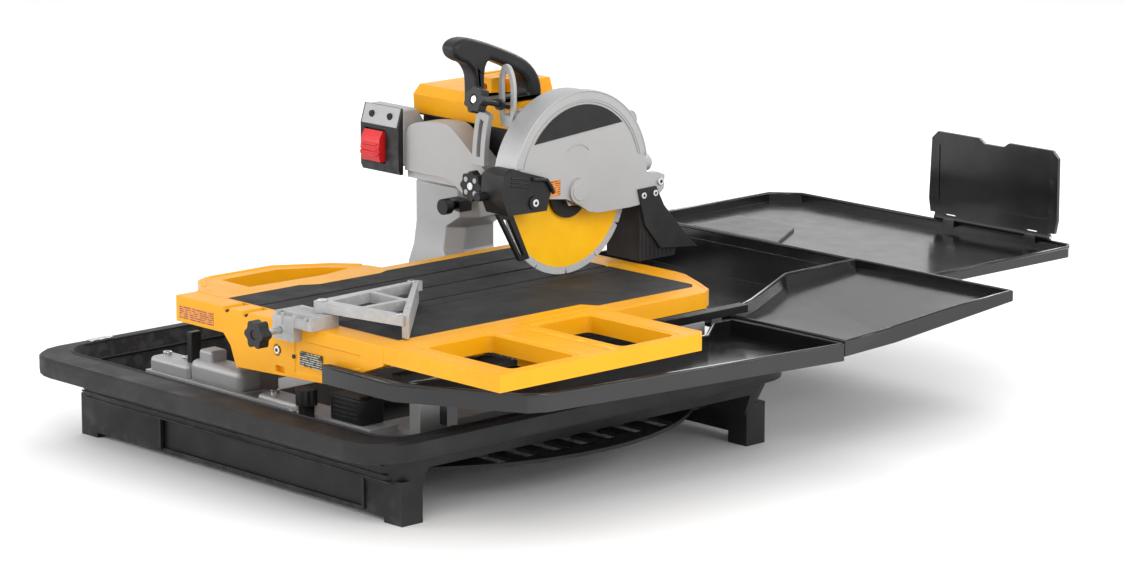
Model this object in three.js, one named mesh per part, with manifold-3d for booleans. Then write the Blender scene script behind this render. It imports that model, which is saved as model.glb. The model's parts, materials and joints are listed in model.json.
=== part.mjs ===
// Wet tile cutter: tub with trays, rolling cart with fence and guide, tilting and plunging saw head.
// Millimetres, +Z up, X along the fence to the right, Y away from the operator, ground at z = 0.
import * as THREE from 'three';
import { mergeVertices } from 'three/addons/utils/BufferGeometryUtils.js';
import Module from 'manifold-3d';

const wasm = await Module();
wasm.setup();

const GAP = 0.3;                       // clearance between touching parts
const BLADE_R = 127;                   // 254 mm blade
const BLADE_X = 155;                   // blade plane
const BLADE_Y = 157;                   // arbor centre
const BLADE_Z = 389.5;
const TABLE_Z = 262;                   // top of the cart and fence
const CART_BOTTOM = 237;
const BEVEL_Z = 417;                   // bevel axis, along Y through x = BLADE_X
const RIM_TOP = 137;
const FLOOR_TOP = 54;                  // tub floor
const RAIL_TOP = 210;
const ROLLER_R = 12;
const TRAY_TOP = 225;                  // rear tray rim
const HINGE_Y = 1033;                  // splash board hinge
const HINGE_Z = 232;
const PLUNGE_Y = 400;                  // plunge pivot, along X
const PLUNGE_Z = 460;
const GUARD_Y = 158;                   // centre of the blade guard's round top
const GUARD_Z = 412;
const GUARD_R = 139;

function solid(geometry) {
  const g = geometry.clone();
  g.deleteAttribute('normal');
  g.deleteAttribute('uv');
  const m = mergeVertices(g, 1e-4);
  const mesh = new wasm.Mesh({
    numProp: 3,
    vertProperties: new Float32Array(m.attributes.position.array),
    triVerts: new Uint32Array(m.index.array),
  });
  return new wasm.Manifold(mesh);
}

function shapeOf(points, holes = []) {
  const vectors = (list) => list.map(([u, v]) => new THREE.Vector2(u, v));
  const outer = vectors(points);
  const shape = new THREE.Shape(THREE.ShapeUtils.isClockWise(outer) ? outer.reverse() : outer);
  holes.forEach((h) => shape.holes.push(new THREE.Path(vectors(h))));
  return shape;
}

// Extrudes an outline along an axis; the outline is (x, y), (x, z) or (y, z).
function prism(axis, points, a, b, holes = []) {
  const options = { depth: b - a, bevelEnabled: false, curveSegments: 1 };
  const g = new THREE.ExtrudeGeometry(shapeOf(points, holes), options);
  const m = new THREE.Matrix4();
  if (axis === 'z') m.makeTranslation(0, 0, a);
  if (axis === 'y') m.set(1, 0, 0, 0, 0, 0, -1, b, 0, 1, 0, 0, 0, 0, 0, 1);
  if (axis === 'x') m.set(0, 0, 1, a, 1, 0, 0, 0, 0, 1, 0, 0, 0, 0, 0, 1);
  return solid(g.applyMatrix4(m));
}

function box(x0, x1, y0, y1, z0, z1) {
  return prism('z', [[x0, y0], [x1, y0], [x1, y1], [x0, y1]], z0, z1);
}

function arc(cu, cv, r, from, to, n) {
  return Array.from({ length: n + 1 }, (_, i) => {
    const t = THREE.MathUtils.degToRad(from + ((to - from) * i) / n);
    return [cu + r * Math.cos(t), cv + r * Math.sin(t)];
  });
}

function circle(cu, cv, r, n = 24) {
  return arc(cu, cv, r, 0, 360, n).slice(0, n);
}

function rounded(x0, x1, y0, y1, r, n = 4) {
  return [
    ...arc(x1 - r, y0 + r, r, -90, 0, n),
    ...arc(x1 - r, y1 - r, r, 0, 90, n),
    ...arc(x0 + r, y1 - r, r, 90, 180, n),
    ...arc(x0 + r, y0 + r, r, 180, 270, n),
  ];
}

function rod(axis, cu, cv, r, a, b, n = 24) {
  return prism(axis, circle(cu, cv, r, n), a, b);
}

// Skins a stack of outlines that all have the same number of points.
function loft(levels) {
  const n = levels[0].points.length;
  const position = levels.flatMap(({ points, z }) => points.flatMap(([x, y]) => [x, y, z]));
  const index = [];
  for (let k = 0; k + 1 < levels.length; k += 1) {
    for (let i = 0; i < n; i += 1) {
      const a = k * n + i;
      const b = k * n + ((i + 1) % n);
      index.push(a, b, b + n, a, b + n, a + n);
    }
  }
  const caps = (points) => THREE.ShapeUtils.triangulateShape(
    points.map(([x, y]) => new THREE.Vector2(x, y)), []);
  caps(levels[0].points).forEach(([a, b, c]) => index.push(a, c, b));
  const top = (levels.length - 1) * n;
  caps(levels[levels.length - 1].points).forEach(([a, b, c]) => index.push(top + a, top + b, top + c));
  const g = new THREE.BufferGeometry();
  g.setAttribute('position', new THREE.Float32BufferAttribute(position, 3));
  g.setIndex(index);
  return solid(g);
}

function join(first, ...rest) {
  return rest.reduce((all, next) => all.add(next), first);
}

function cut(first, ...tools) {
  return tools.reduce((all, tool) => all.subtract(tool), first);
}

// Samples a smooth line through the given points.
function smooth(points, n) {
  const curve = new THREE.SplineCurve(points.map(([u, v]) => new THREE.Vector2(u, v)));
  return curve.getPoints(n).map((p) => [p.x, p.y]);
}

function lobes(cu, cv, r, depth, count, n = 42) {
  return Array.from({ length: n }, (_, i) => {
    const t = (2 * Math.PI * i) / n;
    const rr = r - depth * (0.5 - 0.5 * Math.cos(count * t));
    return [cu + rr * Math.cos(t), cv + rr * Math.sin(t)];
  });
}

// Moves every edge of a counter-clockwise outline inwards by d.
function inset(points, d) {
  const n = points.length;
  return points.map((p, i) => {
    const before = points[(i + n - 1) % n];
    const after = points[(i + 1) % n];
    const a = Math.atan2(p[1] - before[1], p[0] - before[0]);
    const b = Math.atan2(after[1] - p[1], after[0] - p[0]);
    const turn = Math.atan2(Math.sin(b - a), Math.cos(b - a)) / 2;
    const dir = a + turn + Math.PI / 2;
    const reach = d / Math.cos(turn);
    return [p[0] + reach * Math.cos(dir), p[1] + reach * Math.sin(dir)];
  });
}

const LOOKS = {
  yellow: ['#f3b011', 0.42, 0.0],
  tub: ['#17181a', 0.62, 0.0],
  gloss: ['#0f1012', 0.22, 0.0],
  cast: ['#a9adb0', 0.42, 0.75],
  steel: ['#c2c5c8', 0.28, 0.95],
  rubber: ['#1b1c1d', 0.86, 0.0],
  black: ['#151617', 0.45, 0.0],
  red: ['#c8141c', 0.4, 0.0],
};

const part = new THREE.Group();
part.name = 'tile_cutter';

function add(name, look, body) {
  const { vertProperties, triVerts, numProp } = body.getMesh();
  const g = new THREE.BufferGeometry();
  const count = vertProperties.length / numProp;
  const position = new Float32Array(count * 3);
  for (let i = 0; i < count; i += 1) {
    position.set(vertProperties.subarray(i * numProp, i * numProp + 3), i * 3);
  }
  g.setAttribute('position', new THREE.BufferAttribute(position, 3));
  g.setIndex(new THREE.BufferAttribute(new Uint32Array(triVerts), 1));
  g.computeVertexNormals();
  const [color, roughness, metalness] = LOOKS[look];
  const material = new THREE.MeshStandardMaterial({ color, roughness, metalness });
  const mesh = new THREE.Mesh(g, material);
  mesh.name = name;
  part.add(mesh);
}

// ---- tub and frame -------------------------------------------------------------------------

function ledge() {
  const outer = [...arc(-20, -12, 445, -40, 40, 12)];
  const plate = prism('z', [[294, -298], ...outer, [294, 274]], 58, 64);
  const slots = [-190, -135, -80, -25, 30, 85, 140].map((y) => box(330, 386, y, y + 30, 50, 70));
  return cut(plate, ...slots);
}

function tub() {
  const basin = loft([
    { points: rounded(-380, 380, -372, 360, 34), z: 48 },
    { points: rounded(-404, 404, -404, 388, 52), z: 110 },
  ]);
  const rim = loft([
    { points: rounded(-421, 421, -458, 402, 68), z: 108 },
    { points: rounded(-423, 423, -460, 404, 70), z: 112 },
    { points: rounded(-423, 423, -460, 404, 70), z: 133 },
    { points: rounded(-419, 419, -456, 400, 66), z: RIM_TOP },
  ]);
  const skirts = [
    box(-383, 383, -375, -365, 8, 60),
    box(-383, 383, 357, 367, 8, 60),
    box(-383, -374, -375, 367, 8, 60),
    box(-30, 30, -30, 30, 0, 50),
  ];
  const feet = [[-383, -375], [343, -375], [-383, 327], [343, 327]]
    .map(([x, y]) => cut(box(x, x + 40, y, y + 40, 0, 66),
      box(x + 6, x + 34, y + 6, y + 34, -1, 44)));
  const hollow = loft([
    { points: rounded(-372, 372, -364, 352, 34), z: FLOOR_TOP },
    { points: rounded(-398, 398, -404, 378, 50), z: 140 },
  ]);
  const cavity = cut(hollow, box(290, 410, -342, 332, 40, 92));
  const recess = box(298, 460, -334, 324, -1, 84);
  const pocket = box(-180, 300, -400, -370, 15, 60);
  const drain = rod('z', -240, 60, 14, 30, 60);
  const shell = cut(join(basin, rim, ...skirts, ...feet), cavity, recess, pocket, drain);
  return join(shell, ledge(), box(298, 330, -298, 274, 58, 64));
}

function baseFrame() {
  const front = cut(box(-250, 285, -350, -296, 62, 122), box(-232, -160, -342, -304, 100, 130),
    box(-140, -84, -342, -304, 100, 130), box(-20, 60, -342, -304, 100, 130));
  const rear = box(-352, 285, 225, 290, 62, 118);
  const left = box(-96, -36, -300, 240, 66, 112);
  const right = box(225, 285, -300, 240, 66, 112);
  const foot = box(-352, -200, 225, 346, 62, 118);
  const pads = [[-240, -350, -296], [230, -350, -296], [-340, 225, 290], [230, 225, 290]]
    .map(([x, y0, y1]) => box(x, x + 40, y0, y1, FLOOR_TOP + GAP, 64));
  const legs = [[-72, -300], [-72, 230]].map(([x, y]) => box(x, x + 24, y, y + 50, 100, 198 - GAP));
  const arms = [-300, 230].map((y) => join(box(270, 338, y, y + 50, 96, 118),
    box(314, 338, y, y + 50, 96, 198 - GAP)));
  const pad = box(118, 176, -382, -340, 108, 119);
  const channels = [box(-240, 275, -342, -304, 50, 94), box(-342, 275, 233, 282, 50, 110),
    box(-90, -42, -290, 230, 50, 104), box(231, 279, -290, 230, 50, 104),
    box(-342, -210, 286, 338, 50, 110)];
  const beams = cut(join(front, rear, left, right, foot), ...channels);
  return join(beams, pad, ...pads, ...legs, ...arms);
}

function rails() {
  add('rail_left', 'steel', box(-70, -50, -335, 376, 198, RAIL_TOP));
  add('rail_right', 'steel', box(316, 336, -335, 376, 198, RAIL_TOP));
}

function plug() {
  return join(rod('z', -240, 60, 13.4, 41, FLOOR_TOP + GAP), rod('z', -240, 60, 20, FLOOR_TOP + GAP, 60),
    rod('z', -240, 60, 5, 60, 74));
}

function pump() {
  const body = prism('z', rounded(186, 262, -346, -300, 8), 122 + GAP, 160);
  return join(body, rod('z', 244, -322, 8, 155, 170));
}

function leveller() {
  const stem = box(150, 164, -374, -354, 119 + GAP, 140);
  const grip = prism('z', lobes(157, -364, 17, 2.5, 10), 140, 164);
  return join(stem, grip);
}

// ---- cart ----------------------------------------------------------------------------------

const CART_OUTLINE = [
  [-131, -339.7], [350.7, -339.7], [350.7, 8], [366, 24.3], [402, 24.3], [400, 218], [386, 240],
  [340, 264], [284, 290], [262, 294], [-58, 294], [-74, 280], [-74, -20], [-100, -24], [-146, -52],
  [-203, -140], [-204, -266], [-190, -292], [-150, -318],
];
const LOOP_HOLE = [[-170, -262], [-100, -262], [-92, -120], [-106, -58], [-138, -88], [-172, -150]];
const MAT_OUTLINE = [
  [-60, -337], [334, -337], [334, 22], [358, 36], [358, 232], [344, 246], [-52, 246], [-52, -30], [-44, -48],
  [-44, -170], [-60, -198],
];

function cartTable() {
  const plate = prism('z', CART_OUTLINE, CART_BOTTOM, TABLE_Z, [LOOP_HOLE]);
  const seat = prism('z', inset(MAT_OUTLINE, -GAP), TABLE_Z - 4, TABLE_Z + 1);
  const slot = box(BLADE_X - 3, BLADE_X + 3, -330, 262, TABLE_Z - 12, TABLE_Z + 1);
  const under = [box(-50, 148, -300, 230, 230, 252), box(162, 322, -300, 230, 230, 252)];
  const brackets = [-250, -30].flatMap((y) => [
    box(-74, -70, y - 14, y + 14, 216, 240),
    box(-50, -46, y - 14, y + 14, 216, 240),
    box(310, 316, y - 14, y + 14, 216, 255),
    box(336, 340, y - 14, y + 14, 216, 240),
  ]);
  const bosses = [-190, -155].map((y) => box(322, 348, y - 12, y + 12, 219, 252));
  const bores = [-190, -155].map((y) => rod('x', y, 228.5, 6, 300, 352));
  const axles = [-250, -30].flatMap((y) => [
    rod('x', y, RAIL_TOP + ROLLER_R + GAP, 4, -76, -44),
    rod('x', y, RAIL_TOP + ROLLER_R + GAP, 4, 309, 342),
  ]);
  const body = join(cut(plate, seat, slot, ...under), ...brackets, ...bosses);
  return cut(body, ...bores, ...axles);
}

function cartMat() {
  const grooves = [[13, 3], [86, 3], [187, 1]].map(([x, w]) => (
    box(x - w, x + w, -340, 260, TABLE_Z - 2, TABLE_Z + 1)));
  const slot = box(BLADE_X - 2.5, BLADE_X + 2.5, -330, 260, TABLE_Z - 6, TABLE_Z + 1);
  return cut(prism('z', MAT_OUTLINE, TABLE_Z - 4 + GAP, TABLE_Z), slot, ...grooves);
}

function fence() {
  const outline = [
    [-131, TABLE_Z], [-131, 222], [-17, 222], [-1, 206], [12, 174.5], [219, 184], [346, 231],
    [350.7, 233], [350.7, TABLE_Z], ...arc(35, TABLE_Z, 8, 0, -180, 6), ...arc(-10, TABLE_Z, 8, 0, -180, 6),
  ];
  const recess = rod('y', 110, 217, 9, -381, -374);
  const notch = box(106, 126, -381, -372, 184, 194);
  const panel = prism('y', [[150, 190], [214, 192], [300, 222], [300, 240], [150, 240]], -381, -378);
  return cut(prism('y', outline, -380, -340), recess, notch, panel);
}

function roller(name, x0, y) {
  const z = RAIL_TOP + ROLLER_R + GAP;
  const wheel = rod('x', y, z, ROLLER_R, x0 + GAP, x0 + 20 - GAP, 20);
  const stub = rod('x', y, z, 3.6, x0 - 3.5, x0 + 23.5, 12);
  add(name, 'rubber', join(wheel, stub));
}

function extension() {
  const outline = [
    [351.2, -380], [600, -380], [600, 14], [588, 26], [406, 26], [404, 23.6], [366.6, 23.6], [351.2, 7.6],
  ];
  const windows = [
    rounded(398, 580, -340, -217, 10, 3),
    rounded(398, 582, -128, -22, 10, 3),
  ];
  const frame = prism('z', outline, CART_BOTTOM, TABLE_Z, windows);
  const bosses = [-190, -155].map((y) => box(440, 520, y - 12, y + 12, 221, 240));
  const bores = [-190, -155].map((y) => rod('x', y, 228.5, 6, 430, 512));
  const strips = [box(405, 585, -197, -152, TABLE_Z - 1, TABLE_Z + 1)];
  return cut(join(frame, ...bosses), ...bores, ...strips);
}

// ---- guide on the fence --------------------------------------------------------------------

function guide() {
  const body = cut(box(125, 209, -396, -344, TABLE_Z + GAP, 282), box(130, 204, -400, -386, 276, 290));
  const skirt = box(120, 168, -396, -380 - GAP, 240, 275);
  const ridges = Array.from({ length: 12 }, (_, i) => (
    box(128 + i * 6.5, 130 + i * 6.5, -384, -350, 281, 283)));
  const screwBore = rod('y', 137, 254, 5.6, -400, -370);
  const boltBore = rod('z', 182, -352, 4, 264, 290);
  add('guide_clamp', 'cast', cut(join(body, skirt), screwBore, boltBore, ...ridges));
  add('guide_screw', 'steel', rod('y', 137, 254, 5, -428, -381));
  const grip = prism('y', lobes(137, 254, 22, 5, 6), -446, -428 - GAP);
  add('guide_knob', 'black', cut(grip, rod('y', 137, 254, 7, -447, -441)));
  const plate = prism('z', [[166, -152], [161, -157], [334, -330], [345, -330], [345, -326]], 264.3, 298);
  const legs = [
    prism('z', [[182, -362], [340, -334], [340, -322], [182, -342]], 283, 298),
    prism('z', [[172, -352], [162, -160], [172, -150], [192, -352]], 283, 298),
    prism('z', [[170, -262], [268, -262], [258, -252], [170, -252]], 283, 298),
    prism('z', [[250, -345], [260, -345], [260, -256], [250, -246]], 283, 298),
  ];
  const boss = rod('z', 182, -352, 13, 282 + GAP, 298);
  add('guide_arm', 'cast', cut(join(boss, plate, ...legs), rod('z', 182, -352, 4, 270, 300)));
  add('guide_pivot_bolt', 'steel', join(rod('z', 182, -352, 3.6, 266, 299),
    prism('z', circle(182, -352, 8, 6), 298 + GAP, 300.6)));
}

// ---- column, arm and bevel pieces ----------------------------------------------------------

function column() {
  const levels = [
    [118.3, -334, -182, 240], [200, -332, -196, 246], [226, -331, -218, 256], [264, -331, -218, 262],
    [284, -331, -184, 262], [294, -331, -186, 262], [330, -331, -190, 262], [336, -331, -232, 272],
    [350, -331, -244, 276], [362, -331, -216, 256], [390, -331, -214, 262],
  ];
  const post = loft(levels.map(([z, x0, x1, y0]) => ({
    points: [[x0, y0 + 14], [x0 + 14, y0], [x1 - 26, y0], [x1, y0 + 22], [x1, 344], [x0, 344]], z,
  })));
  return cut(post, box(-320, -254, 284, 334, 100, 376));
}

function arm() {
  const bridge = prism('z', [[-331, 268], [-108, 64], [20, 64], [20, 98], [-60, 98], [-214, 262],
    [-214, 344], [-331, 344]], 390 + GAP, 407 - GAP);
  const crown = smooth([[-108, 440], [-106, 462], [-88, 478], [-50, 485], [-8, 486], [20, 470], [50, 448],
    [80, 426], [98, 414]], 22);
  const face = prism('y', [[-108, 402], ...crown, [97, 400], [60, 384], [36, 378], [4, 397], [-20, 402]],
    58, 98);
  const knee = box(-323, -214, 300, 350 - GAP, 400, 432);
  const beam = box(-300, 145, 300, 313, 407, 432);
  const barrel = rod('y', BLADE_X, BEVEL_Z, 14, 300, 313);
  const knobBore = rod('y', 79, 405, 5.3, 50, 90);
  return cut(join(bridge, face, knee, beam, barrel), rod('y', BLADE_X, BEVEL_Z, 6.4, 290, 320), knobBore);
}

// Slotted strip that curves up beside the lock knob, in the XZ plane.
function strip(from, to, y0, y1) {
  const edge = (r, a, b) => arc(340, 440, r, a, b, 8);
  const outline = [...edge(274, from, to), ...edge(246, to, from)];
  const slot = [...edge(264, from - 3, to + 3), ...edge(256, to + 3, from - 3)];
  return cut(prism('y', outline, y0, y1), prism('y', slot, y0 - 1, y1 + 1));
}

function yoke() {
  const barrel = rod('y', BLADE_X, BEVEL_Z, 14, 313 + GAP, 328);
  const link = box(0, 155, 316, 328, 402, 432);
  const ear = prism('x', [[316, 402], [340, 402], ...arc(PLUNGE_Y, PLUNGE_Z, 18, -60, 120, 8),
    [316, 432]], 0, 20);
  const bores = [rod('y', BLADE_X, BEVEL_Z, 6.4, 300, 340), rod('x', PLUNGE_Y, PLUNGE_Z, 8.4, -5, 25)];
  return cut(join(barrel, link, ear), ...bores);
}

function columnLock() {
  const wedge = prism('z', [[-216, 261.7], [-216, 244], [-180, 236], [-180, 261.7]], 300, 318);
  return join(wedge, rod('y', -198, 309, 7, 226, 250), rod('y', -198, 309, 13, 214, 228));
}

function switchPieces() {
  const shell = prism('x', [[56, 407], [110, 407], [104, 470], [86, 497], [56, 497]], -200, -109);
  add('switch_box', 'cast', shell);
  const outline = [[55.7, 394], [50, 394], [46, 402], [46, 468], [55.7, 499]];
  const holes = [-176, -133].map((x) => rod('y', x, 484, 6, 40, 54));
  const well = box(-190, -140, 44, 52, 408, 462);
  add('switch_panel', 'black', cut(prism('x', outline, -200, -109), well, ...holes));
  const paddle = prism('x', [[51, 458], [43, 460], [36, 448], [33, 424], [38, 411], [51, 411]], -187, -143);
  const grips = [418, 427, 436].map((z) => box(-190, -140, 30, 35.5, z, z + 3));
  add('switch_paddle', 'red', cut(paddle, ...grips));
}

// ---- saw head ------------------------------------------------------------------------------

function motor() {
  const bore = rod('x', 165, 447, 30, -96, 110);
  const body = prism('x', bodyOutline(), -130, 99.7);
  add('motor_body', 'black', cut(body, bore));
  const rotor = join(rod('x', 165, 447, 27, -80, 80), rod('x', 165, 447, 7, -92, 99));
  add('motor_rotor', 'steel', rotor);
  const low = prism('x', [[106, 482], [224, 482], [226, 516], [212, 528], [118, 528], [104, 514]],
    -140, 99.7);
  const high = prism('x', [[140, 526], [222, 526], [214, 552], [150, 552]], -46, 58);
  const boss = box(4, 36, 112, 142, 524, 558);
  const vents = [0, 1, 2, 3].map((i) => box(-40 + i * 22, -28 + i * 22, 150, 210, 549, 553));
  add('motor_cover', 'yellow', cut(join(low, high, boss), ...vents, rod('y', 20, 543, 5.3, 100, 130)));
}

function bodyOutline() {
  return [...arc(136, 434, 22, 180, 270, 4), ...arc(198, 434, 22, 270, 360, 4), [220, 481.7], [114, 481.7]];
}

function headFrame() {
  const plate = prism('x', [[99, 400], [112, 352], [214, 352], [244, 400], [250, 470], [230, 520],
    [110, 520], [99, 470]], 100, 142 - GAP);
  const reach = prism('x', [[230, 444], [395, 444], ...arc(PLUNGE_Y, PLUNGE_Z, 16, -90, 90, 8),
    [230, 476]], 20 + GAP, 44);
  const link = box(20 + GAP, 110, 230, 250, 444, 476);
  const bracket = box(104, 134, 72 + GAP, 114, 498, 516);
  const bores = [rod('x', BLADE_Y, BLADE_Z, 12.9, 98, 143), rod('x', PLUNGE_Y, PLUNGE_Z, 8.4, 15, 50)];
  return cut(join(plate, reach, link, bracket), ...bores);
}

// Slotted strip that the lock knob slides in, on the saw head.
function upperQuadrant() {
  const outline = smooth([[108, 498], [104, 530], [103, 562], [108, 586], [118, 595], [130, 588],
    [138, 565], [138, 530], [132, 498]], 24);
  const slot = [[113, 516], [111.5, 570], [118, 584], [126, 578], [130, 560], [129, 516]];
  return cut(prism('y', outline, 66, 72), prism('y', slot, 60, 80));
}

function lockKnob() {
  const grip = prism('z', lobes(0, 0, 21, 4, 7), -9, 7);
  const face = rod('z', 0, 0, 8, -10, -6);
  const collar = rod('z', 0, 0, 8.5, 44, 50);
  return cut(join(grip, rod('z', 0, 0, 4.5, 6, 66), collar), face)
    .rotate([-105, 0, 0]).translate([118, 10, 546]);
}

function handle() {
  const outer = smooth([[30, 528.3], [30, 552], [28, 578], [16, 596], [0, 603], [-12, 612], [-15, 624],
    [-6, 634], [16, 637], [46, 629], [76, 618], [106, 606], [136, 590], [156, 570], [165, 548],
    [165, 528.3]], 40);
  const opening = [[48, 538], [48, 575], [51, 592], [59, 600], [74, 594], [100, 583], [124, 570],
    [136, 556], [138, 538]];
  return prism('x', outer, 61, 95, [opening]);
}

function guard() {
  const lug = prism('x', [[286, 362], [318, 366], [334, 378], [336, 400], [322, 406], [290, 406]],
    178, 190);
  const foot = [[19, 393], [88, 393], [127, 388], [160, 372], [173, 363], [196, 358], [262, 358],
    [297, 360]];
  const shell = prism('x', [...arc(GUARD_Y, GUARD_Z, GUARD_R, 0, 180, 40), ...foot], 142, 190);
  const inner = [...arc(GUARD_Y, GUARD_Z, GUARD_R - 5, 0, 180, 40), [24, 340], [292, 340]];
  const lip = prism('x', [...arc(GUARD_Y, GUARD_Z, GUARD_R + 2, 12, 165, 32),
    ...arc(GUARD_Y, GUARD_Z, GUARD_R - 12, 165, 12, 32)], 178, 191);
  const boss = rod('x', 152, 398, 20, 184, 195);
  return cut(join(shell, lip, boss, lug), prism('x', inner, 147, 184),
    rod('x', BLADE_Y, BLADE_Z, 13.5, 138, 150));
}

// Water nozzle block at the front of the guard.
function nozzleBlock() {
  const wing = prism('x', [[-14, 407], [-10, 441], [8, 450], [73, 430], [87, 411], [77, 378], [-2, 380]],
    191.3, 200);
  const front = prism('x', [[-14, 407], [-10, 441], [6, 447], [22, 447], [22, 383], [-2, 380]], 150, 200);
  const keep = rod('x', GUARD_Y, GUARD_Z, GUARD_R + 0.3, 140, 191, 96);
  const wall = box(140, 191, 18.7, 30, 370, GUARD_Z);
  return join(cut(front, keep, wall), wing, rod('y', 160, 407, 7, -30, -8));
}

function bar() {
  const outline = [[-4, 379.7], [28, 375], [62, 303], [42, 301]];
  const slot = [[8, 370], [20, 368], [50, 309], [44, 309]];
  return prism('x', outline, 170, 178, [slot]);
}

function curtain() {
  return prism('x', [[285, 358 - GAP], [300, 358 - GAP], [366, 280], [360, 268], [285, 268]], 112, 187);
}

function blade() {
  const slots = Array.from({ length: 12 }, (_, i) => (i * Math.PI) / 6);
  const rim = slots.flatMap((a) => [
    ...arc(BLADE_Y, BLADE_Z, BLADE_R, THREE.MathUtils.radToDeg(a) + 1, THREE.MathUtils.radToDeg(a) + 29, 7),
    [BLADE_Y + 119 * Math.cos(a + Math.PI / 6), BLADE_Z + 119 * Math.sin(a + Math.PI / 6)],
  ]);
  return prism('x', rim, BLADE_X - 1.25, BLADE_X + 1.25, [circle(BLADE_Y, BLADE_Z, 13, 32)]);
}

function bladeGroup() {
  add('blade', 'yellow', blade());
  const bore = rod('x', BLADE_Y, BLADE_Z, 12.8, 140, 170, 32);
  add('flange_outer', 'black', cut(rod('x', BLADE_Y, BLADE_Z, 38, BLADE_X + 1.55, 164, 40), bore));
  add('flange_inner', 'steel', cut(rod('x', BLADE_Y, BLADE_Z, 38, 148, BLADE_X - 1.55, 40), bore));
  add('arbor', 'steel', rod('x', BLADE_Y, BLADE_Z, 12.4, 105, 174, 32));
  add('arbor_nut', 'steel', cut(prism('x', circle(BLADE_Y, BLADE_Z, 20, 6), 164 + GAP, 174),
    rod('x', BLADE_Y, BLADE_Z, 12.8, 160, 180, 32)));
}

// ---- trays ---------------------------------------------------------------------------------

function tray(outline, z0, z1, wall = 5) {
  const rim = prism('z', outline, z0, z1);
  const well = prism('z', inset(outline, wall), z0 + 3, z1 + 1);
  return cut(rim, well);
}

const SIDE_TRAY = [[402, -387.2], [560, -292], [571, -262], [572, 344], [330, 344], [336, 296], [402, 218]];
const SIDE_NOSE = [[236, -383.5], [231, -395], [389, -395], [404, -386], [404, -383.5]];

// The side tray falls towards the back so water runs to the tub.
function sideTray() {
  const body = join(tray(SIDE_TRAY, 190, 216), prism('z', SIDE_NOSE, 190, 216),
    box(404, 420, -320, -300, 150, 192), box(404, 420, 0, 20, 150, 192), box(404, 420, 300, 320, 150, 192));
  const slope = new THREE.Matrix4().set(1, 0, 0, 0, 0, 1, 0, 0, 0, -0.034, 1, -0.034 * 395, 0, 0, 0, 1);
  const tilted = body.transform(slope.toArray());
  return cut(tilted, box(380, 440, -400, 400, 100, RIM_TOP + GAP));
}

const CORNER_TRAY = [
  [308, 346], [572, 346], [572, 457], [606, 687], [270, 687], [232, 562],
];

// The corner tray starts level with the side tray and climbs towards the back.
function cornerTray() {
  const profile = prism('x', [[340, 171], [457, 176], [690, 213], [690, 229], [562, 216], [440, 199],
    [340, 194]], 200, 620);
  const inside = prism('x', [[340, 175], [456, 180], [690, 217.2], [690, 260], [340, 260]], 200, 620);
  const body = prism('z', CORNER_TRAY, 150, 250).intersect(profile);
  return cut(body, prism('z', inset(CORNER_TRAY, 5), 150, 250).intersect(inside));
}

function rearTray() {
  const outline = [[-235, 700], [-225, 690], [430, 690], [430, 1022], [418, 1040], [-190, 1040],
    [-235, 1000]];
  const knuckles = [150, 330].map((x) => box(x, x + 24, 1026, 1040, 220, HINGE_Z - 3));
  const ears = [150, 330].map((x) => prism('x', [[1026, 222], [1040, 222],
    ...arc(HINGE_Y, HINGE_Z, 6, 0, 180, 6)], x, x + 24));
  const bores = rod('x', HINGE_Y, HINGE_Z, 2.9, 140, 370, 16);
  return cut(join(tray(outline, 208, TRAY_TOP), ...knuckles, ...ears), bores);
}

function bridgeTray() {
  const outline = [[-235, 408], [224, 408], [224, 694], [-235, 694]];
  const lip = box(-200, 200, 384, 412, RIM_TOP + GAP, 152);
  return join(tray(outline, 150, 178), lip, box(-235, 224, 688, 694, 170, 208 - GAP));
}

function splashBoard() {
  const back = [[118, 240], [392, 240], [397, 262], [397, 366], [384, 378], [290, 378], [278, 370],
    [236, 370], [224, 378], [132, 378], [119, 366], [114, 262]];
  const panel = prism('y', back, HINGE_Y - 3, HINGE_Y + 3);
  const recess = prism('y', [[136, 262], [376, 262], [376, 356], [136, 356]], HINGE_Y - 4, HINGE_Y - 1.5);
  const knuckle = [[128, 149.5], [174.5, 329.5], [354.5, 380]].map(([a, b]) => join(
    rod('x', HINGE_Y, HINGE_Z, 5.6, a, b, 16), box(a, b, HINGE_Y - 3, HINGE_Y + 3, HINGE_Z, 244)));
  const bore = rod('x', HINGE_Y, HINGE_Z, 2.9, 120, 390, 16);
  return cut(join(cut(panel, recess), ...knuckle), bore);
}

add('tub', 'tub', tub());
add('base_frame', 'cast', baseFrame());
rails();
add('drain_plug', 'rubber', plug());
add('water_pump', 'black', pump());
add('leveller_knob', 'black', leveller());
add('cart_table', 'yellow', cartTable());
add('cart_mat', 'rubber', cartMat());
add('fence', 'yellow', fence());
roller('roller_front_left', -70, -250);
roller('roller_rear_left', -70, -30);
roller('roller_front_right', 316, -250);
roller('roller_rear_right', 316, -30);
add('extension_table', 'yellow', extension());
add('extension_rod_front', 'steel', rod('x', -190, 228.5, 5.6, 262, 510));
add('extension_rod_rear', 'steel', rod('x', -155, 228.5, 5.6, 262, 510));
guide();
add('column', 'cast', column());
add('arm', 'cast', arm());
add('lower_quadrant', 'cast', strip(181, 162, 44, 53.7));
add('arm_knob', 'black', join(prism('y', lobes(79, 405, 24, 4, 8), 29, 43), rod('y', 79, 405, 5, 40, 86)));
add('column_lock', 'black', columnLock());
switchPieces();
add('yoke', 'cast', yoke());
add('bevel_pin', 'steel', join(rod('y', BLADE_X, BEVEL_Z, 6, 298.5, 331),
  rod('y', BLADE_X, BEVEL_Z, 10, 328.3, 333)));
add('plunge_pin', 'steel', rod('x', PLUNGE_Y, PLUNGE_Z, 8, -4, 48));
motor();
add('head_frame', 'cast', headFrame());
add('handle', 'black', handle());
add('upper_quadrant', 'cast', upperQuadrant());
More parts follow.
